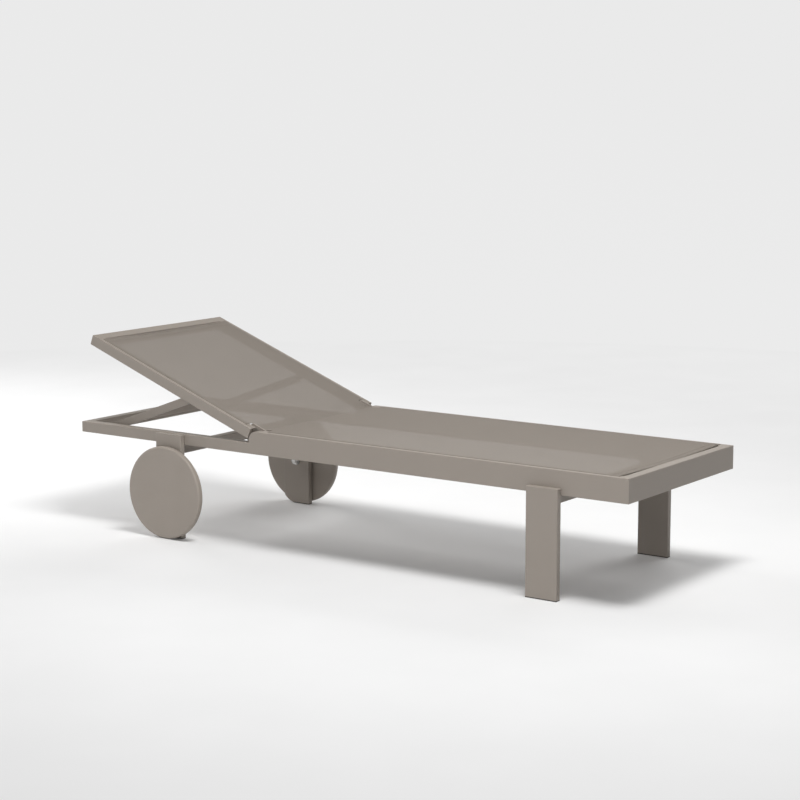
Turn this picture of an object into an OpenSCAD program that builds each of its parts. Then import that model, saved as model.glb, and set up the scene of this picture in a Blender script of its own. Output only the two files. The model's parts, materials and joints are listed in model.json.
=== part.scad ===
// Reclining sun lounger: welded tube frame, sling textile, ratchet backrest, two wheels.
// +X points to the foot end, -Y is the right side of a person lying on it, +Z is up.
// The origin is on the floor under the middle of the base frame.

/* [Base frame] */
// Length of the base frame, head end to foot end
frame_len = 2000; // [1940:10:2060]
// Width of the base frame over its side rails
frame_w = 625; // [560:5:720]
// Height of the top of the side rails
seat_h = 365; // [340:5:400]
// Height of the side rails along the seat
rail_h = 70; // [68:1:80]
// Height of the low head section of the side rails
low_h = 34; // [32:1:36]
// Width of every frame tube
tube_w = 30; // [28:1:34]
// Radius along the edges of the frame tubes
edge_r = 2; // [1:0.5:3]
// Wall thickness of the frame tubes
wall = 2; // [1.5:0.5:3]

/* [Legs and wheels] */
// Width of a leg along the rail
leg_w = 102; // [90:1:110]
// Thickness of a leg
leg_t = 20; // [18:1:24]
// Distance of the front legs from the middle of the frame
front_leg_x = 740; // [680:1:760]
// Distance of the rear legs and wheels from the middle of the frame
rear_leg_x = 616; // [600:1:640]
// Height of the top of the front legs
front_leg_top = 314; // [305:1:320]
// Height of the top of the rear legs
rear_leg_top = 327; // [305:1:328]
// Radius of a wheel
wheel_r = 145; // [125:0.5:148]
// Thickness of a wheel
wheel_t = 20; // [18:1:26]
// Gap between a wheel and its leg
wheel_gap = 5; // [4.5:0.5:8]

/* [Backrest] */
// Angle of the backrest above flat
recline = 20.5; // [0:0.5:65]
// Radius of the rounded rail corner that the backrest turns around
corner_r = 27; // [24:1:27]
// Gap between that corner and the end of the backrest tube
hinge_gap = 4; // [3:0.5:6]
// Height of the backrest tubes
back_tube_h = 33; // [30:1:33]

/* [Ratchet prop] */
// Length of a prop arm between its pivot and its foot
prop_len = 344; // [340:1:348]
// Number of notches in a ratchet rack
notch_count = 8; // [4:1:8]
// Distance between two notches
notch_pitch = 44; // [38:1:44]

/* [Sling textile] */
// Thickness of the textile
sling_t = 1.6; // [1:0.1:2]
// Distance of the slot that holds the textile from the outer face of its tube
slot_inset = 12.5; // [11:0.5:15]
// Gap between the textile and the end tube at the foot and at the head
sling_end_gap = 6; // [4:1:12]

/* [Hidden] */
$fn = 96;

// Right is -Y and left is +Y
RIGHT = -1;
LEFT = 1;

// Colours
frame_paint = [0.60, 0.56, 0.52];
textile_grey = [0.63, 0.60, 0.56];
wheel_grey = [0.57, 0.54, 0.50];
plastic_dark = [0.23, 0.22, 0.21];
nylon_light = [0.80, 0.79, 0.76];
steel = [0.72, 0.72, 0.72];

// Base frame
half_len = frame_len / 2;
half_w = frame_w / 2;
inner_half_w = half_w - tube_w;
rail_y = half_w - tube_w / 2;
base_z = seat_h - rail_h;
low_top = base_z + low_h;
hinge_x = -281;
hinge_z = seat_h - corner_r;
solid_end_x = hinge_x + 19;

// Slot in the top of the rails and of the backrest tubes, with a channel for the keder below it
keder_y = half_w - slot_inset;
keder_depth = 6;
keder_r = 2.5;
channel_r = 3;
slot_w = 2.4;
solid_top = keder_depth + channel_r + 3;

// Cross tubes under the rails
cross_h = 30;
cross_top = base_z - 5;

// Legs
leg_y = half_w + leg_t / 2;
leg_edge_r = 3;
leg_wall = 2.5;
cap_t = 3;
plug_h = 14;
heel_arc_r = 70;
heel_arc_z = 69;
heel_arc_run = 55;

// Wheels and axles
wheel_z = wheel_r + 0.5;
wheel_edge_r = 6;
axle_r = 6;
bush_r = 9;
bush_flange_r = 15;
bush_flange_t = 1.5;
running_gap = 0.05;
side_gap = 0.4;
loose_gap = 0.1;
leg_out = half_w + leg_t;
wheel_in = leg_out + wheel_gap;
wheel_out = wheel_in + wheel_t;
hub_flange_r = 24;
hub_flange_t = 4;
stub_depth = 14;
axle_length_in = 14.5;
washer_r = 13;
washer_t = 2.2;
nut_r = 11;
nut_t = 8;

// Backrest, drawn flat and then turned about the hinge
back_bottom = low_top + 1;
back_top = back_bottom + back_tube_h;
back_foot_x = hinge_x - corner_r - hinge_gap;
back_head_x = -half_len + 2;

// Hinge plates, points given from the hinge axis with the backrest flat
plate_t = 6;
plate_out = inner_half_w - 1;
plate_in = plate_out - plate_t;
boss_r = 14;
bridge_x0 = -56;
bridge_x1 = 10;
bridge_top = 30;
bridge_band = 9;
bridge_edge_r = 11;
plate_low = -30;
arm_end_x = -116;
arm_low = -6;
arm_high = 12;
arm_mid = (arm_low + arm_high) / 2;
pin_r = 5;
pin_depth = 12;
pin_head_r = 9;
pin_head_t = 4;
hinge_washer_r = 11;
plate_screws_x = [-72, -106];
plate_screw_r = 2.5;
screw_head_t = 2.8;

// Prop, points given from the hinge axis with the backrest flat
prop_x = -312.6;
prop_z = -16.9;
prop_angle = 20;
prop_rest = 20.5;
prop_coupling = 0.92;
lug_t = 5;
lug_in = plate_out - lug_t;
lug_r = 12;
arm_h = 25;
arm_t = 8;
arm_out = inner_half_w - 9.5;
arm_in = arm_out - arm_t;
bolt_r = 4;
bolt_head_r = 7;
bolt_head_t = 4;
spacer_r = 8;
rod_r = 5;
rod_half = inner_half_w - 1.5;

// Ratchet racks
rack_t = 6;
rack_low = base_z + 1.5;
notch_r = 5.5;
rod_z = 314;
rack_top = rod_z - rod_r - 1.2;
first_notch_x = -903;
rack_end = 24;
rack_screw_r = 2;
rack_screw_inset = 46;
rack_x0 = first_notch_x - rack_end;
rack_x1 = first_notch_x + (notch_count - 1) * notch_pitch + rack_end;
rack_screws_x = [
    rack_x0 + rack_screw_inset, (rack_x0 + rack_x1) / 2, rack_x1 - rack_screw_inset
];

// Textile outline
tongue_half = inner_half_w - 10.5;
notch_run = 6;
seat_sling_x0 = -256;
seat_notch_x = -250;
seat_sling_x1 = half_len - tube_w - sling_end_gap;
back_sling_x0 = back_head_x + tube_w + sling_end_gap;
back_sling_x1 = -300;
back_notch_x = -342;

// Helpers ------------------------------------------------------------------

// Everything is drawn on the right side; the left side is its mirror image
module on_side(side) {
    mirror([0, side == LEFT ? 1 : 0, 0]) children();
}

module rounded_rect(w, h, r) {
    square([w - 2 * r, h], center = true);
    square([w, h - 2 * r], center = true);
    for (sx = [-1, 1], sy = [-1, 1])
        translate([sx * (w / 2 - r), sy * (h / 2 - r)]) circle(r = r);
}

// Bar along X with rounded edges, from x0 to x1 and from z0 to z1, centred on y
module bar_x(x0, x1, y, z0, z1, w) {
    translate([x0, y, (z0 + z1) / 2])
        rotate([90, 0, 90])
            linear_extrude(x1 - x0)
                rounded_rect(w, z1 - z0, edge_r);
}

// Bar along Y with rounded edges, from x0 to x1 and from z0 to z1, centred on y = 0
module bar_y(len, x0, x1, z0, z1) {
    translate([(x0 + x1) / 2, len / 2, (z0 + z1) / 2])
        rotate([90, 0, 0])
            linear_extrude(len)
                rounded_rect(x1 - x0, z1 - z0, edge_r);
}

// Block between two corners
module block(low, high) {
    translate(low) cube(high - low);
}

// Cylinder along Y from y0 to y1
module cyl_y(r, y0, y1, x, z) {
    translate([x, y1, z]) rotate([90, 0, 0]) cylinder(r = r, h = y1 - y0);
}

// Cylinder along X from x0 to x1
module cyl_x(r, x0, x1, y, z) {
    translate([x0, y, z]) rotate([0, 90, 0]) cylinder(r = r, h = x1 - x0);
}

// Plate in the XZ plane from its outline, between y0 and y1
module plate_y(y0, y1) {
    translate([0, y1, 0]) rotate([90, 0, 0]) linear_extrude(y1 - y0) children();
}

// Ring along Y on the right side
module ring_y(r, bore, y0, y1, x, z) {
    difference() {
        cyl_y(r, y0, y1, x, z);
        cyl_y(bore, y0 - 1, y1 + 1, x, z);
    }
}

// Plan of a right side rail with its ends cut at 45 degrees, from x0 to x1
module mitred_side(x0, x1, cut0, cut1) {
    translate([0, 0, -1])
        linear_extrude(seat_h + 100)
            polygon([
                [x0, -half_w - 1], [x1, -half_w - 1], [x1, -half_w],
                [x1 - cut1, -inner_half_w], [x0 + cut0, -inner_half_w], [x0, -half_w]
            ]);
}

// Plan of an end tube whose outer face is at x, cut at 45 degrees at both ends
module mitred_end(x, inward) {
    translate([0, 0, -1])
        linear_extrude(seat_h + 100)
            polygon([
                [x, -half_w], [x, half_w],
                [x + inward * tube_w, inner_half_w], [x + inward * tube_w, -inner_half_w]
            ]);
}

// Keder channel that opens to the top of a tube on the right side
module keder_channel(x0, x1, top) {
    cyl_x(channel_r, x0, x1, -keder_y, top - keder_depth);
    block([x0, -keder_y - slot_w / 2, top - keder_depth], [x1, -keder_y + slot_w / 2, top + 1]);
}

// Turns the flat backrest about the hinge
module reclined() {
    translate([hinge_x, 0, hinge_z])
        rotate([0, recline, 0])
            translate([-hinge_x, 0, -hinge_z])
                children();
}

// Turns the prop with the backrest and about its own pivot.
// The prop is drawn level, with its pivot at the flat backrest's prop pivot.
module propped() {
    lift = prop_angle + (recline - prop_rest) * prop_coupling;
    reclined()
        translate([hinge_x + prop_x, 0, hinge_z + prop_z])
            rotate([0, -recline - lift, 0])
                children();
}

// Base frame ----------------------------------------------------------------

module rail_profile() {
    translate([-half_len, base_z]) square([frame_len, low_h]);
    translate([hinge_x, base_z]) square([half_len - hinge_x, rail_h]);
    translate([hinge_x - corner_r, base_z]) square([corner_r, rail_h - corner_r]);
    translate([hinge_x, hinge_z]) circle(r = corner_r);
}

module side_rail(side) {
    color(frame_paint)
        on_side(side)
            difference() {
                intersection() {
                    union() {
                        bar_x(-half_len, hinge_x, -rail_y, base_z, low_top, tube_w);
                        bar_x(hinge_x - corner_r, half_len, -rail_y, base_z, seat_h, tube_w);
                    }
                    plate_y(-half_w - 1, 0) rail_profile();
                    mitred_side(-half_len, half_len, tube_w, tube_w);
                }
                block(
                    [solid_end_x, -half_w + wall, base_z + wall],
                    [half_len, -inner_half_w - wall, seat_h - solid_top]
                );
                block(
                    [-half_len, -half_w + wall, base_z + wall],
                    [hinge_x - corner_r - wall, -inner_half_w - wall, low_top - wall]
                );
                keder_channel(hinge_x - corner_r - 1, seat_sling_x1 + 2, seat_h);
                cyl_y(pin_r + loose_gap, -inner_half_w - pin_depth, 0, hinge_x, hinge_z);
                for (x = rack_screws_x)
                    cyl_y(
                        rack_screw_r + loose_gap, -inner_half_w - wall - 1, 0,
                        x, (rack_low + rack_top) / 2
                    );
            }
}

module foot_crossbar() {
    color(frame_paint)
        difference() {
            intersection() {
                bar_y(frame_w, half_len - tube_w, half_len, base_z, seat_h);
                mitred_end(half_len, -1);
            }
            block(
                [half_len - tube_w + wall, -half_w, base_z + wall],
                [half_len - wall, half_w, seat_h - solid_top]
            );
        }
}

module head_crossbar() {
    color(frame_paint)
        difference() {
            intersection() {
                bar_y(frame_w, -half_len, -half_len + tube_w, base_z, low_top);
                mitred_end(-half_len, 1);
            }
            block(
                [-half_len + wall, -half_w, base_z + wall],
                [-half_len + tube_w - wall, half_w, low_top - wall]
            );
        }
}

// Square tube between the two legs of a pair
module leg_crossbar(x) {
    color(frame_paint)
        difference() {
            bar_y(frame_w, x - tube_w / 2, x + tube_w / 2, cross_top - cross_h, cross_top);
            block(
                [x - tube_w / 2 + wall, -half_w - 1, cross_top - cross_h + wall],
                [x + tube_w / 2 - wall, half_w + 1, cross_top - wall]
            );
        }
}

// Legs ----------------------------------------------------------------------

// Corner outside an arc, which lets the lounger tip onto its wheels.
// inset moves the arc inward, for the space inside the leg.
module heel_cut(inset) {
    arc_x = -rear_leg_x - leg_w / 2 + heel_arc_run;
    plate_y(-leg_out - 1, -half_w + 1)
        difference() {
            translate([arc_x - leg_w, -leg_w]) square([leg_w, heel_arc_z + leg_w]);
            translate([arc_x, heel_arc_z]) circle(r = heel_arc_r - inset);
        }
}

module leg_blank(x, z0, z1, inset) {
    translate([x, -leg_y, z0])
        linear_extrude(z1 - z0)
            rounded_rect(leg_w - 2 * inset, leg_t - 2 * inset, leg_edge_r - inset);
}

module front_leg(side) {
    color(frame_paint)
        on_side(side)
            difference() {
                leg_blank(front_leg_x, cap_t, front_leg_top, 0);
                leg_blank(front_leg_x, 0, front_leg_top - leg_wall, leg_wall);
            }
}

module rear_leg(side) {
    color(frame_paint)
        on_side(side)
            difference() {
                leg_blank(-rear_leg_x, cap_t, rear_leg_top, 0);
                heel_cut(0);
                difference() {
                    leg_blank(-rear_leg_x, 0, rear_leg_top - leg_wall, leg_wall);
                    heel_cut(leg_wall);
                }
                cyl_y(bush_r + loose_gap, -leg_out - 1, -half_w + 1, -rear_leg_x, wheel_z);
            }
}

module front_foot_cap(side) {
    color(plastic_dark)
        on_side(side) {
            leg_blank(front_leg_x, 0, cap_t, 0);
            leg_blank(front_leg_x, cap_t, plug_h, leg_wall + loose_gap);
        }
}

module rear_foot_cap(side) {
    color(plastic_dark)
        on_side(side) {
            difference() {
                leg_blank(-rear_leg_x, 0, cap_t, 0);
                heel_cut(0);
            }
            difference() {
                leg_blank(-rear_leg_x, cap_t, plug_h, leg_wall + loose_gap);
                heel_cut(leg_wall + loose_gap);
            }
        }
}

// Wheels --------------------------------------------------------------------

// Flanged plastic bush that lines the axle bore of a rear leg
module axle_bush(side) {
    color(nylon_light)
        on_side(side)
            difference() {
                union() {
                    cyl_y(bush_r, -leg_out - bush_flange_t, -half_w + bush_flange_t, -rear_leg_x, wheel_z);
                    cyl_y(bush_flange_r, -leg_out - bush_flange_t, -leg_out, -rear_leg_x, wheel_z);
                    cyl_y(bush_flange_r, -half_w, -half_w + bush_flange_t, -rear_leg_x, wheel_z);
                }
                cyl_y(axle_r + running_gap, -leg_out - 10, -half_w + 10, -rear_leg_x, wheel_z);
            }
}

module wheel_section() {
    square([wheel_r - wheel_edge_r, wheel_t]);
    translate([0, wheel_edge_r]) square([wheel_r, wheel_t - 2 * wheel_edge_r]);
    for (y = [wheel_edge_r, wheel_t - wheel_edge_r])
        translate([wheel_r - wheel_edge_r, y]) circle(r = wheel_edge_r);
}

module wheel(side) {
    color(wheel_grey)
        on_side(side)
            difference() {
                translate([-rear_leg_x, -wheel_in, wheel_z])
                    rotate([90, 0, 0])
                        rotate_extrude()
                            wheel_section();
                cyl_y(
                    hub_flange_r + loose_gap, -wheel_in - hub_flange_t, -wheel_in + 1,
                    -rear_leg_x, wheel_z
                );
                cyl_y(
                    axle_r + loose_gap, -wheel_in - stub_depth - 1, -wheel_in,
                    -rear_leg_x, wheel_z
                );
            }
}

// Stub axle: its flange is let into the wheel and its shaft turns in the bush
module axle(side) {
    shoulder_in = leg_out + bush_flange_t + side_gap;
    color(steel)
        on_side(side) {
            cyl_y(axle_r, -wheel_in - stub_depth, -half_w + axle_length_in, -rear_leg_x, wheel_z);
            cyl_y(hub_flange_r, -wheel_in - hub_flange_t, -wheel_in, -rear_leg_x, wheel_z);
            cyl_y(2 * axle_r, -wheel_in, -shoulder_in, -rear_leg_x, wheel_z);
        }
}

module axle_washer(side) {
    y0 = -half_w + bush_flange_t + side_gap;
    color(steel)
        on_side(side)
            ring_y(washer_r, axle_r + loose_gap, y0, y0 + washer_t, -rear_leg_x, wheel_z);
}

module axle_nut(side) {
    y0 = -half_w + bush_flange_t + side_gap + washer_t;
    color(steel)
        on_side(side)
            difference() {
                translate([-rear_leg_x, y0 + nut_t, wheel_z])
                    rotate([90, 0, 0])
                        cylinder(r = nut_r, h = nut_t, $fn = 6);
                cyl_y(axle_r + loose_gap, y0 - 1, y0 + nut_t + 1, -rear_leg_x, wheel_z);
            }
}

// Backrest hinge --------------------------------------------------------------

// Shoulder bolt in the rail, which the hinge plate turns on
module hinge_pin(side) {
    color(steel)
        on_side(side) {
            cyl_y(
                pin_r, -inner_half_w - pin_depth + 1, -plate_in + side_gap + 1,
                hinge_x, hinge_z
            );
            cyl_y(
                pin_head_r, -plate_in + side_gap, -plate_in + side_gap + pin_head_t,
                hinge_x, hinge_z
            );
        }
}

module hinge_washer(side) {
    color(nylon_light)
        on_side(side)
            ring_y(
                hinge_washer_r, pin_r + loose_gap, -inner_half_w, -plate_out - side_gap,
                hinge_x, hinge_z
            );
}

// Rounded block between two corners of an outline
module rounded_block(low, high, r) {
    translate((low + high) / 2) rounded_rect(high[0] - low[0], high[1] - low[1], r);
}

// Arm along the backrest tube and bridge over the gap, down to the boss
module hinge_outline() {
    translate([hinge_x, hinge_z]) {
        circle(r = boss_r);
        difference() {
            rounded_block([bridge_x0, plate_low], [bridge_x1, bridge_top], bridge_edge_r);
            rounded_block(
                [bridge_x0 + bridge_band, arm_high],
                [bridge_x1 - bridge_band, bridge_top - bridge_band],
                2
            );
        }
        rounded_block([arm_end_x - arm_high, arm_low], [bridge_x0 + boss_r, arm_high], edge_r);
    }
}

// Pad that closes the gap between a flat arm and the backrest tube
module hinge_pad_outline() {
    translate([hinge_x, hinge_z])
        rounded_block([arm_end_x - arm_high, arm_low], [bridge_x0, arm_high], edge_r);
}

module hinge_plate(side) {
    color(frame_paint)
        reclined()
            on_side(side)
                difference() {
                    union() {
                        plate_y(-plate_out, -plate_in) hinge_outline();
                        plate_y(-inner_half_w, -plate_in) hinge_pad_outline();
                    }
                    cyl_y(pin_r + running_gap, -inner_half_w - 1, 0, hinge_x, hinge_z);
                    for (dx = plate_screws_x)
                        cyl_y(
                            plate_screw_r + loose_gap, -half_w, 0,
                            hinge_x + dx, hinge_z + arm_mid
                        );
                }
}

module hinge_plate_screws() {
    color(steel)
        reclined()
            for (side = [RIGHT, LEFT], dx = plate_screws_x)
                on_side(side)
                    translate([hinge_x + dx, 0, hinge_z + arm_mid]) {
                        cyl_y(plate_screw_r, -inner_half_w - 6, -plate_in + 1, 0, 0);
                        cyl_y(2 * plate_screw_r, -plate_in, -plate_in + screw_head_t, 0, 0);
                    }
}

// Backrest --------------------------------------------------------------------

module backrest_tube(side) {
    color(frame_paint)
        reclined()
            on_side(side)
                difference() {
                    intersection() {
                        bar_x(back_head_x, back_foot_x, -rail_y, back_bottom, back_top, tube_w);
                        mitred_side(back_head_x, back_foot_x, tube_w, 0);
                    }
                    block(
                        [back_head_x, -half_w + wall, back_bottom + wall],
                        [back_foot_x - wall, -inner_half_w - wall, back_top - solid_top]
                    );
                    keder_channel(back_sling_x0 - 2, back_foot_x + 1, back_top);
                    for (dx = plate_screws_x)
                        cyl_y(
                            plate_screw_r + loose_gap, -inner_half_w - wall - 1, 0,
                            hinge_x + dx, hinge_z + arm_mid
                        );
                }
}

module backrest_top_bar() {
    color(frame_paint)
        reclined()
            difference() {
                intersection() {
                    bar_y(frame_w, back_head_x, back_head_x + tube_w, back_bottom, back_top);
                    mitred_end(back_head_x, 1);
                }
                block(
                    [back_head_x + wall, -half_w, back_bottom + wall],
                    [back_head_x + tube_w - wall, half_w, back_top - solid_top]
                );
            }
}

// Ratchet prop ----------------------------------------------------------------

// Lug on the inner face of a backrest tube, which carries the prop's pivot
module prop_lug(side) {
    px = hinge_x + prop_x;
    pz = hinge_z + prop_z;
    lug_top = hinge_z + arm_high;
    color(frame_paint)
        reclined()
            on_side(side)
                difference() {
                    union() {
                        plate_y(-plate_out, -lug_in) {
                            translate([px, pz]) circle(r = lug_r);
                            translate([px - lug_r, pz]) square([2 * lug_r, lug_top - pz]);
                        }
                        block(
                            [px - lug_r, -inner_half_w, back_bottom + 1],
                            [px + lug_r, -lug_in, lug_top]
                        );
                    }
                    cyl_y(bolt_r + loose_gap, -inner_half_w - 1, 0, px, pz);
                }
}

module prop_bolt(side) {
    px = hinge_x + prop_x;
    pz = hinge_z + prop_z;
    color(steel)
        reclined()
            on_side(side) {
                cyl_y(bolt_r, -plate_out, -arm_in + side_gap + 1, px, pz);
                cyl_y(bolt_head_r, -arm_in + side_gap, -arm_in + side_gap + bolt_head_t, px, pz);
            }
}

module prop_spacer(side) {
    color(nylon_light)
        reclined()
            on_side(side)
                ring_y(
                    spacer_r, bolt_r + loose_gap, -lug_in, -arm_out - side_gap,
                    hinge_x + prop_x, hinge_z + prop_z
                );
}

// Flat bar from the pivot at the origin to the foot at -X
module prop_arm(side) {
    color(frame_paint)
        propped()
            on_side(side)
                difference() {
                    plate_y(-arm_out, -arm_in) {
                        circle(r = arm_h / 2);
                        translate([-prop_len, 0]) circle(r = arm_h / 2);
                        translate([-prop_len, -arm_h / 2]) square([prop_len, arm_h]);
                    }
                    cyl_y(bolt_r + running_gap, -arm_out - 1, -arm_in + 1, 0, 0);
                    cyl_y(rod_r + loose_gap, -arm_out - 1, -arm_in + 1, -prop_len, 0);
                }
}

module prop_cross_rod() {
    color(frame_paint)
        propped()
            cyl_y(rod_r, -rod_half, rod_half, -prop_len, 0);
}

module ratchet_rack(side) {
    screw_z = (rack_low + rack_top) / 2;
    color(frame_paint)
        on_side(side)
            difference() {
                block([rack_x0, -inner_half_w, rack_low], [rack_x1, -inner_half_w + rack_t, rack_top]);
                for (i = [0 : notch_count - 1])
                    cyl_y(
                        notch_r, -inner_half_w - 1, -inner_half_w + rack_t + 1,
                        first_notch_x + i * notch_pitch, rack_top
                    );
                for (x = rack_screws_x)
                    translate([x, -inner_half_w, screw_z])
                        rotate([-90, 0, 0]) {
                            translate([0, 0, -1])
                                cylinder(r = rack_screw_r + loose_gap, h = rack_t + 2);
                            translate([0, 0, rack_t - rack_screw_r])
                                cylinder(
                                    r1 = rack_screw_r + loose_gap, r2 = 2 * rack_screw_r + loose_gap,
                                    h = rack_screw_r + 0.01
                                );
                        }
            }
}

// Countersunk screws that hold the racks, flush with their faces
module rack_screws() {
    color(steel)
        for (side = [RIGHT, LEFT], x = rack_screws_x)
            on_side(side)
                translate([x, -inner_half_w, (rack_low + rack_top) / 2])
                    rotate([-90, 0, 0]) {
                        translate([0, 0, -wall - rack_screw_r])
                            cylinder(r = rack_screw_r, h = wall + rack_t);
                        translate([0, 0, rack_t - rack_screw_r])
                            cylinder(
                                r1 = rack_screw_r, r2 = 2 * rack_screw_r, h = rack_screw_r - 0.05
                            );
                    }
}

// Sling textile ---------------------------------------------------------------

module keder(side, x0, x1, top) {
    color(plastic_dark)
        on_side(side)
            cyl_x(keder_r, x0, x1, -keder_y, top - keder_depth);
}

module seat_keder(side) {
    keder(side, seat_notch_x + notch_run, seat_sling_x1, seat_h);
}

module backrest_keder(side) {
    reclined() keder(side, back_sling_x0, back_notch_x, back_top);
}

// Textile on top of the tubes, with its two edges turned down into the slots.
// It is full wide from x0 to x1 and ends in a tongue between the hinge plates.
module textile(x0, x1, tongue_x, top) {
    run = tongue_x < x0 ? -notch_run : notch_run;
    notch_x = tongue_x < x0 ? x0 : x1;
    edge = keder_y + sling_t / 2;
    translate([0, 0, top])
        linear_extrude(sling_t)
            polygon([
                [x0, -edge], [x1, -edge], [x1, edge], [x0, edge]
            ]);
    translate([0, 0, top])
        linear_extrude(sling_t)
            polygon([
                [notch_x, -edge], [notch_x + run, -tongue_half], [tongue_x, -tongue_half],
                [tongue_x, tongue_half], [notch_x + run, tongue_half], [notch_x, edge]
            ]);
    for (side = [RIGHT, LEFT])
        on_side(side)
            block(
                [x0, -edge, top - keder_depth + keder_r + loose_gap],
                [x1, -edge + sling_t, top + sling_t / 2]
            );
}

module seat_textile() {
    color(textile_grey)
        textile(seat_notch_x + notch_run, seat_sling_x1, seat_sling_x0, seat_h);
}

module backrest_textile() {
    color(textile_grey)
        reclined()
            textile(back_sling_x0, back_notch_x, back_sling_x1, back_top);
}

// Nodes -----------------------------------------------------------------------

side_rail(RIGHT);  // side_rail_right
side_rail(LEFT);  // side_rail_left
foot_crossbar();
head_crossbar();
leg_crossbar(front_leg_x);  // front_crossbar
leg_crossbar(-rear_leg_x);  // rear_crossbar
front_leg(RIGHT);  // front_leg_right
front_leg(LEFT);  // front_leg_left
rear_leg(RIGHT);  // rear_leg_right
rear_leg(LEFT);  // rear_leg_left
front_foot_cap(RIGHT);  // front_foot_cap_right
front_foot_cap(LEFT);  // front_foot_cap_left
rear_foot_cap(RIGHT);  // rear_foot_cap_right
rear_foot_cap(LEFT);  // rear_foot_cap_left
axle_bush(RIGHT);  // axle_bush_right
axle_bush(LEFT);  // axle_bush_left
hinge_pin(RIGHT);  // hinge_pin_right
hinge_pin(LEFT);  // hinge_pin_left
hinge_washer(RIGHT);  // hinge_washer_right
hinge_washer(LEFT);  // hinge_washer_left
ratchet_rack(RIGHT);  // ratchet_rack_right
ratchet_rack(LEFT);  // ratchet_rack_left
rack_screws();
seat_textile();
seat_keder(RIGHT);  // seat_keder_right
seat_keder(LEFT);  // seat_keder_left
backrest_tube(RIGHT);  // backrest_tube_right
backrest_tube(LEFT);  // backrest_tube_left
backrest_top_bar();
hinge_plate(RIGHT);  // hinge_plate_right
hinge_plate(LEFT);  // hinge_plate_left
hinge_plate_screws();
prop_lug(RIGHT);  // prop_lug_right
prop_lug(LEFT);  // prop_lug_left
prop_bolt(RIGHT);  // prop_bolt_right
prop_bolt(LEFT);  // prop_bolt_left
prop_spacer(RIGHT);  // prop_spacer_right
prop_spacer(LEFT);  // prop_spacer_left
backrest_textile();
backrest_keder(RIGHT);  // backrest_keder_right
backrest_keder(LEFT);  // backrest_keder_left
prop_arm(RIGHT);  // prop_arm_right
prop_arm(LEFT);  // prop_arm_left
prop_cross_rod();
wheel(RIGHT);  // wheel_right
wheel(LEFT);  // wheel_left
axle(RIGHT);  // axle_right
axle(LEFT);  // axle_left
axle_washer(RIGHT);  // axle_washer_right
axle_washer(LEFT);  // axle_washer_left
axle_nut(RIGHT);  // axle_nut_right
axle_nut(LEFT);  // axle_nut_left
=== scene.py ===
"""Reclining sun lounger: the looks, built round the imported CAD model."""

import json
import math

import bmesh
import bpy
from mathutils import Matrix, Vector


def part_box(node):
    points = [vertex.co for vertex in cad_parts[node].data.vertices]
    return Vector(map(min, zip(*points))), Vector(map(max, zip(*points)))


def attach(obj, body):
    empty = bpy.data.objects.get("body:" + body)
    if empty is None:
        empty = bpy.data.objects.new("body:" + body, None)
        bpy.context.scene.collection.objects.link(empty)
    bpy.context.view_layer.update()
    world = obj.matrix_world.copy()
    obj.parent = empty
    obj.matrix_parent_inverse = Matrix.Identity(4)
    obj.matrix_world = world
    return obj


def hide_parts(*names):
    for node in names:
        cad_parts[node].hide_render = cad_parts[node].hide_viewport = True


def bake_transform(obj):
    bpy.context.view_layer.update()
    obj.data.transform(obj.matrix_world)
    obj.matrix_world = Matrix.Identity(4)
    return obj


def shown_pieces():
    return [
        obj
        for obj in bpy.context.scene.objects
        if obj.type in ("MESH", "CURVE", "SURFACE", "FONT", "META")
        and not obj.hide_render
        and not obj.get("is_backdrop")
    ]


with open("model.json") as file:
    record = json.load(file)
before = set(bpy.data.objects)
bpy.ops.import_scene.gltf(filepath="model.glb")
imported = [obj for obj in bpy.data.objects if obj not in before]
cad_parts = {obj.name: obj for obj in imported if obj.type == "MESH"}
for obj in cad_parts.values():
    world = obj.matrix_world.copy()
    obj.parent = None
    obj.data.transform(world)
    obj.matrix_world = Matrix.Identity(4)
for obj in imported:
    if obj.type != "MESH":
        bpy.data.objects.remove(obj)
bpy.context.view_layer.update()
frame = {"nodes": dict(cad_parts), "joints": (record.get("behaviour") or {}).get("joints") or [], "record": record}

SLOT_OF = {s["node"]: s["material_slot"] for s in frame["record"]["subparts"]}
JOINTS = {j["name"]: j for j in frame["joints"]}
HINGE = Vector(JOINTS["backrest_hinge"]["pos_m"])
RECLINE = -math.radians(JOINTS["backrest_hinge"]["range_deg"][0])  # from flat to the rest pose


# ---------------------------------------------------------------- geometry helpers


def smooth(t):
    """0 before 0, 1 after 1, and a smooth turn between."""
    t = min(max(t, 0.0), 1.0)
    return t * t * (3 - 2 * t)


def bell(distance, reach):
    """1 at no distance, falling smoothly towards 0 past the reach."""
    return math.exp(-((distance / reach) ** 2))


def turned(point, angle):
    """A point turned about the backrest hinge; a positive angle raises the head end."""
    turn = Matrix.Rotation(angle, 3, "Y")
    return HINGE + turn @ (Vector(point) - HINGE)


def flat_box(node):
    """The box of a backrest node as it would lie with the backrest flat."""
    points = [turned(v.co, -RECLINE) for v in frame["nodes"][node].data.vertices]
    return (
        Vector(min(p[i] for p in points) for i in range(3)),
        Vector(max(p[i] for p in points) for i in range(3)),
    )


def new_object(name, bm, material):
    """A new object in the scene, with the bmesh's faces shaded smooth."""
    for face in bm.faces:
        face.smooth = True
    mesh = bpy.data.meshes.new(name)
    bm.to_mesh(mesh)
    bm.free()
    mesh.materials.append(material)
    obj = bpy.data.objects.new(name, mesh)
    bpy.context.scene.collection.objects.link(obj)
    return obj


# ---------------------------------------------------------------- material helpers


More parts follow.
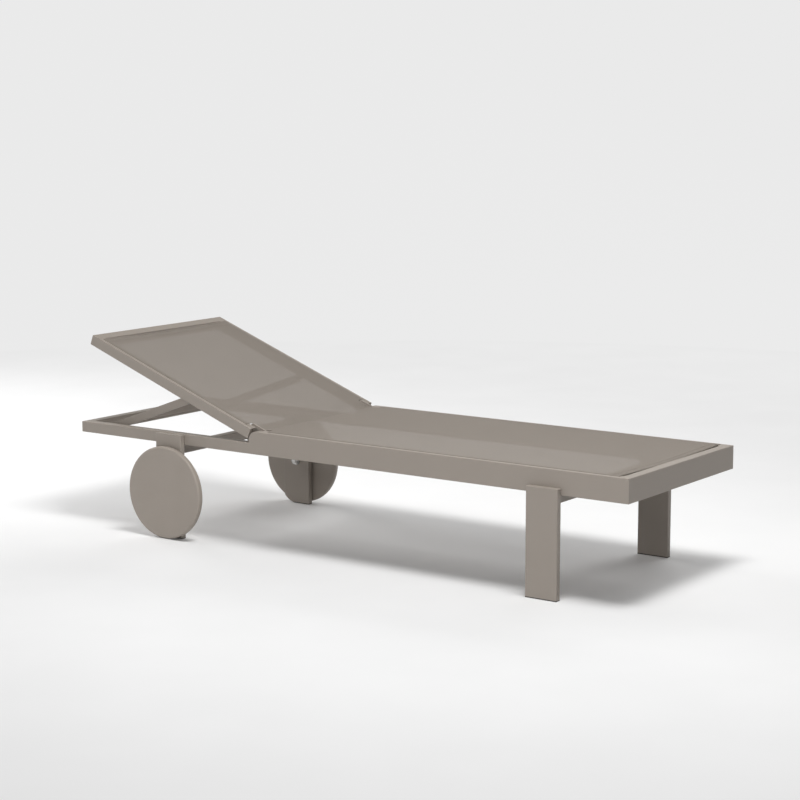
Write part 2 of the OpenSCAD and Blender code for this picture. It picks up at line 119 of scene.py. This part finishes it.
class Shader:
    """A Principled material with short ways to add nodes and links."""

    def __init__(self, name, roughness, specular=0.5, metallic=0.0):
        self.material = bpy.data.materials.new(name)
        self.material.use_nodes = True
        self.tree = self.material.node_tree
        self.tree.nodes.clear()
        self.output = self.add("ShaderNodeOutputMaterial")
        self.surface = self.add("ShaderNodeBsdfPrincipled")
        self.surface.inputs["Roughness"].default_value = roughness
        self.surface.inputs["Specular IOR Level"].default_value = specular
        self.surface.inputs["Metallic"].default_value = metallic
        self.link(self.surface.outputs[0], self.output.inputs["Surface"])
        self.place = self.add("ShaderNodeTexCoord").outputs["Object"]

    def add(self, kind, **values):
        node = self.tree.nodes.new(kind)
        for key, value in values.items():
            setattr(node, key, value)
        return node

    def link(self, a, b):
        self.tree.links.new(a, b)

    def noise(self, scale, detail=2.0, roughness=0.5, stretch=(1, 1, 1)):
        """A 0 to 1 noise; scale is in features per metre."""
        place = self.place
        if stretch != (1, 1, 1):
            mapping = self.add("ShaderNodeMapping")
            mapping.inputs["Scale"].default_value = stretch
            self.link(place, mapping.inputs["Vector"])
            place = mapping.outputs[0]
        node = self.add("ShaderNodeTexNoise")
        node.inputs["Scale"].default_value = scale
        node.inputs["Detail"].default_value = detail
        node.inputs["Roughness"].default_value = roughness
        self.link(place, node.inputs["Vector"])
        return node.outputs["Fac"]

    def math(self, operation, a, b=None, c=None):
        node = self.add("ShaderNodeMath", operation=operation)
        for socket, value in zip(node.inputs, (a, b, c)):
            if value is None:
                continue
            if isinstance(value, (int, float)):
                socket.default_value = value
            else:
                self.link(value, socket)
        return node.outputs[0]

    def weighted(self, *pairs):
        """The sum of each value times its weight."""
        terms = [self.math("MULTIPLY", value, weight) for value, weight in pairs]
        total = terms[0]
        for term in terms[1:]:
            total = self.math("ADD", total, term)
        return total

    def remap(self, value, low, high, start=0.3, stop=0.7):
        """value from start..stop to low..high, clamped."""
        node = self.add("ShaderNodeMapRange")
        ends = {"From Min": start, "From Max": stop, "To Min": low, "To Max": high}
        for key, number in ends.items():
            node.inputs[key].default_value = number
        self.link(value, node.inputs["Value"])
        return node.outputs[0]

    def tint(self, dark, light, factor):
        """The base colour, from dark to light by factor."""
        node = self.add("ShaderNodeMix", data_type="RGBA")
        node.inputs["A"].default_value = (*dark, 1)
        node.inputs["B"].default_value = (*light, 1)
        self.link(factor, node.inputs["Factor"])
        self.link(node.outputs["Result"], self.surface.inputs["Base Color"])

    def roughness(self, value):
        self.link(value, self.surface.inputs["Roughness"])

    def bump(self, height, distance, strength=1.0):
        node = self.add("ShaderNodeBump")
        node.inputs["Distance"].default_value = distance
        node.inputs["Strength"].default_value = strength
        self.link(height, node.inputs["Height"])
        self.link(node.outputs[0], self.surface.inputs["Normal"])


def scaled(colour, factor):
    """The colour made lighter or darker."""
    return tuple(c * factor for c in colour)


TAUPE = (0.285, 0.250, 0.217)
TEXTILE = (0.262, 0.230, 0.198)


def powder_coat():
    """Satin polyester powder: a fine grain, with a faint cloudiness over a hand's width."""
    s = Shader("taupe_powder_coat", 0.5, specular=0.45)
    grain = s.noise(1400, detail=3)
    cloud = s.noise(9, detail=3)
    s.tint(scaled(TAUPE, 0.93), scaled(TAUPE, 1.06), s.weighted((grain, 0.6), (cloud, 0.4)))
    s.roughness(s.remap(s.noise(260), 0.46, 0.58))
    s.bump(s.math("ADD", grain, s.math("MULTIPLY", s.noise(500, detail=1), 0.8)), 0.00012, 0.55)
    return s.material


def moulded(name, colour, roughness, grain_scale=900, depth=0.0001):
    """Moulded plastic: a fine spark-eroded grain and slight flow clouding."""
    s = Shader(name, roughness, specular=0.4)
    grain = s.noise(grain_scale, detail=2)
    cloud = s.noise(14, detail=2)
    s.tint(scaled(colour, 0.9), scaled(colour, 1.08), s.weighted((grain, 0.5), (cloud, 0.5)))
    s.roughness(s.remap(s.noise(120), roughness - 0.05, roughness + 0.08))
    s.bump(grain, depth, 0.5)
    return s.material


def turned_steel():
    """Stainless fasteners: fine turning marks, brighter and duller in streaks."""
    s = Shader("stainless_steel", 0.34, metallic=1.0)
    streak = s.noise(90, detail=4, stretch=(30, 1, 30))
    s.tint((0.42, 0.41, 0.40), (0.62, 0.61, 0.59), streak)
    s.roughness(s.remap(streak, 0.26, 0.44))
    s.bump(streak, 0.00003, 0.4)
    return s.material


YARN = 0.0014  # centre to centre, both ways


def woven_textile():
    """Coated polyester yarns in a plain weave, close set, letting a little light through; the dips between the
    yarns are painted darker as shade.
    """
    s = Shader("sling_weave", 0.62, specular=0.35)
    uv = s.add("ShaderNodeUVMap", uv_map="flat")
    split = s.add("ShaderNodeSeparateXYZ")
    s.link(uv.outputs[0], split.inputs[0])
    waves = [s.math("SINE", s.math("MULTIPLY", split.outputs[i], math.pi / YARN)) for i in (0, 1)]
    across, along = (s.math("ABSOLUTE", w) for w in waves)
    over = s.math("GREATER_THAN", s.math("MULTIPLY", *waves), 0.0)
    under = s.math("SUBTRACT", 1.0, over)
    height = s.weighted((across, over), (along, under))
    blotch = s.noise(5, detail=2)
    slub = s.noise(60, detail=2, stretch=(1, 9, 1))
    # Painted shade: the weave's height darkens the tint in the dips between the yarns; blotch and slub add random
    # tone on top.
    painted_weave_shade_and_tone = s.weighted((height, 0.4), (blotch, 0.3), (slub, 0.3))
    s.tint(scaled(TEXTILE, 0.86), scaled(TEXTILE, 1.1), painted_weave_shade_and_tone)
    s.roughness(s.remap(height, 0.72, 0.56, 0.0, 1.0))
    s.bump(height, 0.00035, 0.7)
    s.surface.inputs["Alpha"].default_value = 0.78
    return s.material


def sewing_thread():
    """Matt polyester thread, a little darker than the cloth, with a fine twist."""
    s = Shader("sewing_thread", 0.7, specular=0.3)
    twist = s.noise(1500, detail=1, stretch=(1, 0.3, 1))
    s.tint(scaled(TEXTILE, 0.7), scaled(TEXTILE, 1.0), twist)
    s.bump(twist, 0.0001, 0.6)
    return s.material


MATERIALS = {
    "frame_paint": powder_coat(),
    "wheel": moulded("wheel_plastic", scaled(TAUPE, 1.08), 0.5),
    "foot_cap": moulded("foot_cap_plastic", (0.05, 0.046, 0.04), 0.6),
    "keder": moulded("keder_plastic", (0.09, 0.083, 0.075), 0.55),
    "nylon": moulded("nylon", (0.2, 0.19, 0.175), 0.5),
    "steel": turned_steel(),
    "sling_textile": woven_textile(),
}
THREAD = sewing_thread()

for node, obj in frame["nodes"].items():
    for slot in obj.material_slots:
        slot.material = MATERIALS[SLOT_OF[node]]


# ---------------------------------------------------------------- the sling

SEAT_LO, SEAT_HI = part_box("seat_textile")
BACK_LO, BACK_HI = flat_box("backrest_textile")
KEDER_LO, KEDER_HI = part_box("seat_keder_left")
FOOT_END, HEAD_END = SEAT_HI.x, BACK_LO.x
SEAT_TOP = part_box("side_rail_left")[1].z
BACK_TOP = flat_box("backrest_tube_left")[1].z
TUBE_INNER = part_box("hinge_washer_left")[1].y
SLOT_Y = (KEDER_LO.y + KEDER_HI.y) / 2
CLOTH = 0.0012  # thickness
LIFT = CLOTH / 2 + 0.0001  # of the cloth's middle above the tubes
TURN_R = 0.0016  # of the cloth's middle, where it turns down into the slot
TURN_START = SLOT_Y - TURN_R
TURN_ARC = TURN_R * math.pi / 2
TURN_DOWN = 0.0026  # straight down into the slot, past the turn
FULL_HALF = TURN_START + TURN_ARC + TURN_DOWN
TONGUE_HALF = 0.272  # half the width between the hinge plates
NOTCH_SEAT, NOTCH_BACK = -0.247, -0.340  # where the cloth narrows beside the hinges
NOTCH_ROUND = 0.005
BEND_FROM, BEND_TO = -0.252, -0.326  # where the cloth bends from seat to backrest
SAG = 0.0045
SAG_AT_BEND = 0.45  # the share of the sag that the bend takes away
BEND_REACH = 0.09
RIPPLE, CREASE = 0.0005, 0.0006
CREASE_REACH = 0.05
HEM = 0.028
HEM_STEP = 0.004
HEM_EXTRA = 0.0011  # of the folded hem's thickness
HEM_ABOVE = 0.25  # the share of it that shows on top
RIM_ANGLE = math.radians(60)


def half_width(f):
    """Half the cloth's width at flat position f; it is cut back beside the hinges."""
    into = min(NOTCH_SEAT - f, f - NOTCH_BACK)
    return FULL_HALF - (FULL_HALF - TONGUE_HALF) * smooth(into / NOTCH_ROUND + 0.5)


def over_tube(s):
    """The cloth's y and its drop, s metres out from its middle, along its turned-down edge."""
    side, s = math.copysign(1, s), abs(s)
    if s <= TURN_START:
        return side * s, 0.0
    angle = min(s - TURN_START, TURN_ARC) / TURN_R
    down = max(s - TURN_START - TURN_ARC, 0.0)
    return side * (TURN_START + TURN_R * math.sin(angle)), TURN_R * (1 - math.cos(angle)) + down


def sag(f, y):
    """How far the cloth hangs below the line between the tubes it lies on."""
    across = max(1 - (y / TUBE_INNER) ** 2, 0.0)
    near_bend = 1 - SAG_AT_BEND * bell(f - HINGE.x, BEND_REACH)
    ripple = RIPPLE * math.sin(f * 23 + 1.3) * math.sin(y * 17 + f * 6)
    crease = CREASE * math.sin(f * 150) * bell(f - HINGE.x, CREASE_REACH)
    return SAG * across * near_bend + (ripple + crease) * across


def sling_point(f, s):
    """Where the cloth's middle is, f along it and s across it, with the backrest at its rest angle."""
    y, drop = over_tube(s)
    share = smooth((BEND_FROM - f) / (BEND_FROM - BEND_TO))
    level = SEAT_TOP + (BACK_TOP - SEAT_TOP) * share + LIFT
    return turned((f, y, level - sag(f, y) - drop), RECLINE * share)


def sling_normal(f, s):
    """The way up from the cloth at that place."""
    e = 0.0003
    a = sling_point(f + e, s) - sling_point(f - e, s)
    b = sling_point(f, s + e) - sling_point(f, s - e)
    return a.cross(b).normalized()


def hem_share(f):
    """1 in the folded hems at the two ends, 0 elsewhere."""
    into = min(FOOT_END - f, f - HEAD_END)
    return 1 - smooth((into - HEM) / HEM_STEP)


def spread(a, b, step):
    """Places from a up to, but not at, b, no more than a step apart."""
    n = max(1, math.ceil(abs(b - a) / step))
    return [a + (b - a) * i / n for i in range(n)]


def sling_rows():
    """Flat positions of the cloth's rows, close together where it changes."""
    marks = [
        (FOOT_END, 0.0035),
        (FOOT_END - HEM - 2 * HEM_STEP, 0.014),
        (NOTCH_SEAT + NOTCH_ROUND, 0.001),
        (NOTCH_SEAT - NOTCH_ROUND, 0.004),
        (NOTCH_BACK + NOTCH_ROUND, 0.001),
        (NOTCH_BACK - NOTCH_ROUND, 0.014),
        (HEAD_END + HEM + 2 * HEM_STEP, 0.0035),
    ]
    rows = []
    for (start, step), (stop, _) in zip(marks, marks[1:] + [(HEAD_END, 0)]):
        rows += spread(start, stop, step)
    return rows + [HEAD_END]


COLUMNS = 44
TURN_COLUMNS = 6


def sling_columns():
    """The columns' places across the cloth, as shares of its half width."""
    flat = TURN_START - 0.002
    inner = [flat * (2 * i / COLUMNS - 1) for i in range(COLUMNS + 1)]
    step = (FULL_HALF - TURN_START) / TURN_COLUMNS
    edge = [TURN_START + step * i for i in range(TURN_COLUMNS + 1)]
    return [s / FULL_HALF for s in [-e for e in reversed(edge)] + inner + edge]


def sling_face(bm, rows, columns, side, flat_of):
    """The grid of vertices of the cloth's top (side 1) or underside (side -1)."""
    hem_part = HEM_ABOVE if side > 0 else 1 - HEM_ABOVE
    grid = []
    for f in rows:
        out = CLOTH / 2 + HEM_EXTRA * hem_share(f) * hem_part
        line = []
        for share in columns:
            s = half_width(f) * share
            v = bm.verts.new(sling_point(f, s) + sling_normal(f, s) * side * out)
            flat_of[v] = (f, s)
            line.append(v)
        grid.append(line)
    return grid


def fill_grid(bm, grid, flip):
    """Faces over a grid of vertices."""
    for a, b in zip(grid, grid[1:]):
        for i in range(len(a) - 1):
            quad = [a[i], a[i + 1], b[i + 1], b[i]]
            bm.faces.new(quad if flip else quad[::-1])


def close_rim(bm, top, under):
    """Faces that join the cloth's top to its underside, all round."""
    for i in range(len(top[0]) - 1):
        bm.faces.new([top[0][i], top[0][i + 1], under[0][i + 1], under[0][i]])
        bm.faces.new([top[-1][i + 1], top[-1][i], under[-1][i], under[-1][i + 1]])
    for j in range(len(top) - 1):
        bm.faces.new([top[j + 1][0], top[j][0], under[j][0], under[j + 1][0]])
        bm.faces.new([top[j][-1], top[j + 1][-1], under[j + 1][-1], under[j][-1]])


def sling():
    """The whole cloth as one closed mesh, with its flat places as UVs for the weave."""
    bm = bmesh.new()
    uv = bm.loops.layers.uv.new("flat")
    rows, columns = sling_rows(), sling_columns()
    flat_of = {}
    top, under = (sling_face(bm, rows, columns, side, flat_of) for side in (1, -1))
    fill_grid(bm, top, False)
    fill_grid(bm, under, True)
    close_rim(bm, top, under)
    bmesh.ops.recalc_face_normals(bm, faces=bm.faces)
    for face in bm.faces:
        for loop in face.loops:
            loop[uv].uv = flat_of[loop.vert]
    obj = new_object("sling_textile", bm, MATERIALS["sling_textile"])
    edges = obj.modifiers.new("sharp_rim", "EDGE_SPLIT")
    edges.split_angle = RIM_ANGLE
    return obj


STITCH, STITCH_GAP, THREAD_R = 0.0034, 0.0012, 0.00045
STITCH_TAPER = ((-0.5, 0.35), (-0.3, 0.9), (0.0, 1.0), (0.3, 0.9), (0.5, 0.35))  # along, thickness
STITCH_SIDES = 6
STITCH_FLAT = 1.3  # a stitch is pulled down and is wider than it is high
STITCH_LIFT = CLOTH / 2 + HEM_EXTRA * HEM_ABOVE + THREAD_R * 0.5
SEAMS = (0.006, HEM - 0.005)  # from the end of the cloth


def stitch(bm, centre):
    """A short bar of thread across the cloth, tapered at both ends."""
    rings = []
    for t, thick in STITCH_TAPER:
        ring = []
        for k in range(STITCH_SIDES):
            angle = k * 2 * math.pi / STITCH_SIDES
            r = THREAD_R * thick
            out = (math.cos(angle) * r * STITCH_FLAT, t * STITCH, math.sin(angle) * r)
            ring.append(bm.verts.new(centre + Vector(out)))
        rings.append(ring)
    for a, b in zip(rings, rings[1:]):
        for i in range(STITCH_SIDES):
            j = (i + 1) % STITCH_SIDES
            bm.faces.new([a[i], a[j], b[j], b[i]])
    bm.faces.new(rings[0][::-1])
    bm.faces.new(rings[-1])


def stitch_row(bm, f, half):
    """Stitches across the cloth at flat position f."""
    pitch = STITCH + STITCH_GAP
    count = int(2 * half / pitch)
    for k in range(count):
        y = (k - (count - 1) / 2) * pitch
        stitch(bm, sling_point(f, y) + sling_normal(f, y) * STITCH_LIFT)


def hem_stitching(name, end, inward, body):
    """The two seams of the hem at one end of the cloth."""
    bm = bmesh.new()
    for offset in SEAMS:
        stitch_row(bm, end + inward * offset, TURN_START - 0.001)
    bmesh.ops.recalc_face_normals(bm, faces=bm.faces)
    obj = new_object(name, bm, THREAD)
    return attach(obj, body)


cloth = sling()
foot_stitches = hem_stitching("foot_hem_stitching", FOOT_END, -1, "frame")
head_stitches = hem_stitching("head_hem_stitching", HEAD_END, 1, "backrest")
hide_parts("seat_textile", "backrest_textile")
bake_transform(cloth)


# ---------------------------------------------------------------- floor, light and camera

VIEW_YAW, VIEW_PITCH = math.radians(35.192), math.radians(8.894)
FLOOR_R, CURVE_R, WALL_TOP = 8.5, 2.5, 5.5
FLOOR_GLOW, WALL_GLOW = 0.05, 0.82  # the paper's own light, near and far
GLOW_FROM, GLOW_TO = 1.3, 5.0  # where the lounger's lights give way to the paper's own
AROUND, CURVE_STEPS = 96, 16


def pale_paper():
    """Matt white paper, lit by the lights near the lounger and by its own glow far from it."""
    s = Shader("pale_paper", 0.9, specular=0.0)
    distance = s.add("ShaderNodeVectorMath", operation="LENGTH")
    s.link(s.place, distance.inputs[0])
    far = s.remap(distance.outputs["Value"], 0.0, 1.0, GLOW_FROM, GLOW_TO)
    near = s.math("SUBTRACT", s.remap(s.noise(3, detail=2), 0.98, 1.0), far)
    s.tint((0.01, 0.01, 0.01), (0.82, 0.82, 0.82), near)
    glow = s.remap(far, FLOOR_GLOW, WALL_GLOW, 0.0, 1.0)
    s.surface.inputs["Emission Color"].default_value = (1, 1, 1, 1)
    s.link(glow, s.surface.inputs["Emission Strength"])
    return s.material


def turned_surface(name, profile, material):
    """The surface that a profile of radius and height sweeps round the Z axis."""
    bm = bmesh.new()
    angles = [2 * math.pi * i / AROUND for i in range(AROUND)]
    rings = []
    for r, z in profile:
        rings.append([bm.verts.new((r * math.cos(a), r * math.sin(a), z)) for a in angles])
    for a, b in zip(rings, rings[1:]):
        for i in range(AROUND):
            bm.faces.new([a[i], b[i], b[(i + 1) % AROUND], a[(i + 1) % AROUND]])
    bmesh.ops.remove_doubles(bm, verts=bm.verts, dist=1e-5)
    obj = new_object(name, bm, material)
    obj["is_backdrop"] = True
    return obj


def studio():
    """A round floor and a wall that its rim curves up into, so that no view sees past it."""
    paper = pale_paper()
    floor_rings = (1e-6, 0.5, 1, 2, 3, 4, 5, 6, 7, FLOOR_R)
    turned_surface("studio_floor", [(r, 0.0) for r in floor_rings], paper)
    bend = [k / CURVE_STEPS * math.pi / 2 for k in range(CURVE_STEPS + 1)]
    profile = [(FLOOR_R + CURVE_R * math.sin(a), CURVE_R * (1 - math.cos(a))) for a in bend]
    wall = turned_surface("studio_wall", profile + [(FLOOR_R + CURVE_R, WALL_TOP)], paper)
    wall.visible_diffuse = False  # the wall is only a backdrop and gives the lounger no light


def softbox(name, place, target, size, power, glossy=True, only=None):
    """A soft rectangular light; with only, a collection, it lights nothing else."""
    light = bpy.data.lights.new(name, "AREA")
    light.shape = "RECTANGLE"
    light.size, light.size_y = size
    light.energy = power
    obj = bpy.data.objects.new(name, light)
    obj.location = place
    obj.rotation_euler = (Vector(target) - Vector(place)).to_track_quat("-Z", "Y").to_euler()
    obj.visible_camera = False
    obj.visible_glossy = glossy
    bpy.context.scene.collection.objects.link(obj)
    if only:
        obj.light_linking.receiver_collection = only


def lounger_collection():
    """Every piece of the lounger, so that a light can leave the floor out."""
    collection = bpy.data.collections.new("lounger")
    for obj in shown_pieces():
        collection.objects.link(obj)
    return collection


def ambient(strength):
    """Even light from all sides."""
    world = bpy.data.worlds.new("studio_air")
    bpy.context.scene.world = world
    world.use_nodes = True
    background = world.node_tree.nodes["Background"]
    background.inputs["Color"].default_value = (1, 1, 1, 1)
    background.inputs["Strength"].default_value = strength


def camera():
    """A long lens beyond the foot end, on the right side and a little above the seat."""
    data = bpy.data.cameras.new("camera")
    data.sensor_width = 36.0
    data.lens = 92.78
    data.clip_end = 60
    obj = bpy.data.objects.new("camera", data)
    obj.location = (3.6118, -5.0758, 1.4228)
    obj.rotation_euler = (math.pi / 2 - VIEW_PITCH, 0, VIEW_YAW)
    bpy.context.scene.collection.objects.link(obj)
    bpy.context.scene.camera = obj


studio()
ambient(0.10)
softbox("overhead", (1.2, -0.75, 3.7), (0.1, 0.0, 0.3), (1.3, 0.9), 108)
softbox("back", (-0.4, 8.2, 4.4), (-0.1, 0.0, 0.2), (9.0, 5.0), 500, glossy=False)
softbox("head", (-4.2, 0.2, 2.1), (-0.6, 0.0, 0.0), (3.0, 2.4), 125, glossy=False)
softbox("front", (1.2, -4.9, 2.5), (-0.2, 0.0, 0.3), (2.6, 1.6), 114, only=lounger_collection())
camera()
bpy.context.scene.view_settings.view_transform = "Standard"
